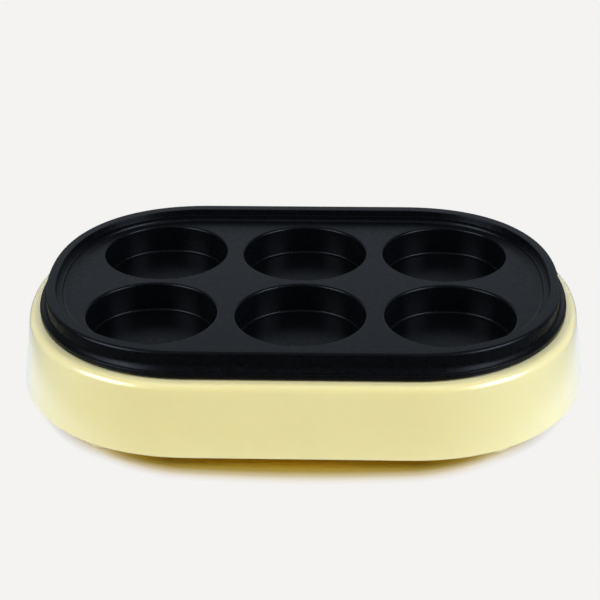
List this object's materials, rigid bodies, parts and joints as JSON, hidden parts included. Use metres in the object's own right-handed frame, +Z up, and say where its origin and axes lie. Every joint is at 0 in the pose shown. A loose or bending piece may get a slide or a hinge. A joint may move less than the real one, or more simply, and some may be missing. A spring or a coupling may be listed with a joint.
{
  "type": "wheel cake maker",
  "caption": "Electric wheel cake maker: an oval moulded base with a loop heating element under a lift-off cast plate with round drafted wells.",
  "frame": {"origin": "on the table, under the middle of the maker", "axes": "+X to the right along the long side, -Y to the front, +Z up"},
  "size_m": [0.3012, 0.2036, 0.0574],
  "materials": {
    "yellow_housing": "glossy pale yellow moulded plastic",
    "nonstick_cast": "cast aluminium with a dark satin non-stick coating",
    "foot_rubber": "matt dark rubber",
    "plated_steel": "zinc-plated steel",
    "aluminised_steel": "aluminised sheet steel",
    "element_sheath": "dark oxidised heating element sheath",
    "black_moulding": "black heat-resistant moulding",
    "brass_pins": "bright brass",
    "white_ceramic": "unglazed white ceramic",
    "brown_phenolic": "dark brown phenolic moulding",
    "lead_sleeve": "heat-resistant woven sleeve"
  },
  "bodies": {
    "base": {"upper_housing": "yellow_housing", "base_cover": "yellow_housing", "foot_pad_front_left": "foot_rubber", "foot_pad_front_right": "foot_rubber", "foot_pad_rear_left": "foot_rubber", "foot_pad_rear_right": "foot_rubber", "base_screw_1": "plated_steel", "base_screw_2": "plated_steel", "base_screw_3": "plated_steel", "base_screw_4": "plated_steel", "base_screw_5": "plated_steel", "base_screw_6": "plated_steel", "inlet_socket": "black_moulding", "inlet_pin_left": "brass_pins", "inlet_pin_right": "brass_pins", "inlet_screw_left": "plated_steel", "inlet_screw_right": "plated_steel", "reflector_pan": "aluminised_steel", "heating_element": "element_sheath", "pan_screw_front_left": "plated_steel", "pan_screw_front_right": "plated_steel", "pan_screw_rear_left": "plated_steel", "pan_screw_rear_right": "plated_steel", "element_clip_front_left": "plated_steel", "element_clip_front_right": "plated_steel", "element_clip_rear_left": "plated_steel", "element_clip_rear_right": "plated_steel", "ceramic_bush_left": "white_ceramic", "ceramic_bush_right": "white_ceramic", "element_terminal_left": "plated_steel", "element_terminal_right": "plated_steel", "thermostat": "brown_phenolic", "thermostat_bracket": "plated_steel", "thermostat_screw_left": "plated_steel", "thermostat_screw_right": "plated_steel", "thermal_fuse": "white_ceramic", "fuse_clamp": "plated_steel", "return_lead": "lead_sleeve", "feed_lead": "lead_sleeve", "link_lead": "lead_sleeve", "element_lead": "lead_sleeve"},
    "plate": {"cooking_plate": "nonstick_cast"}
  },
  "joints": [
    {"name": "plate_lift", "type": "slide", "parent": "base", "child": "plate", "axis": [0, 0, 1], "range_m": [0, 0.06]}
  ]
}
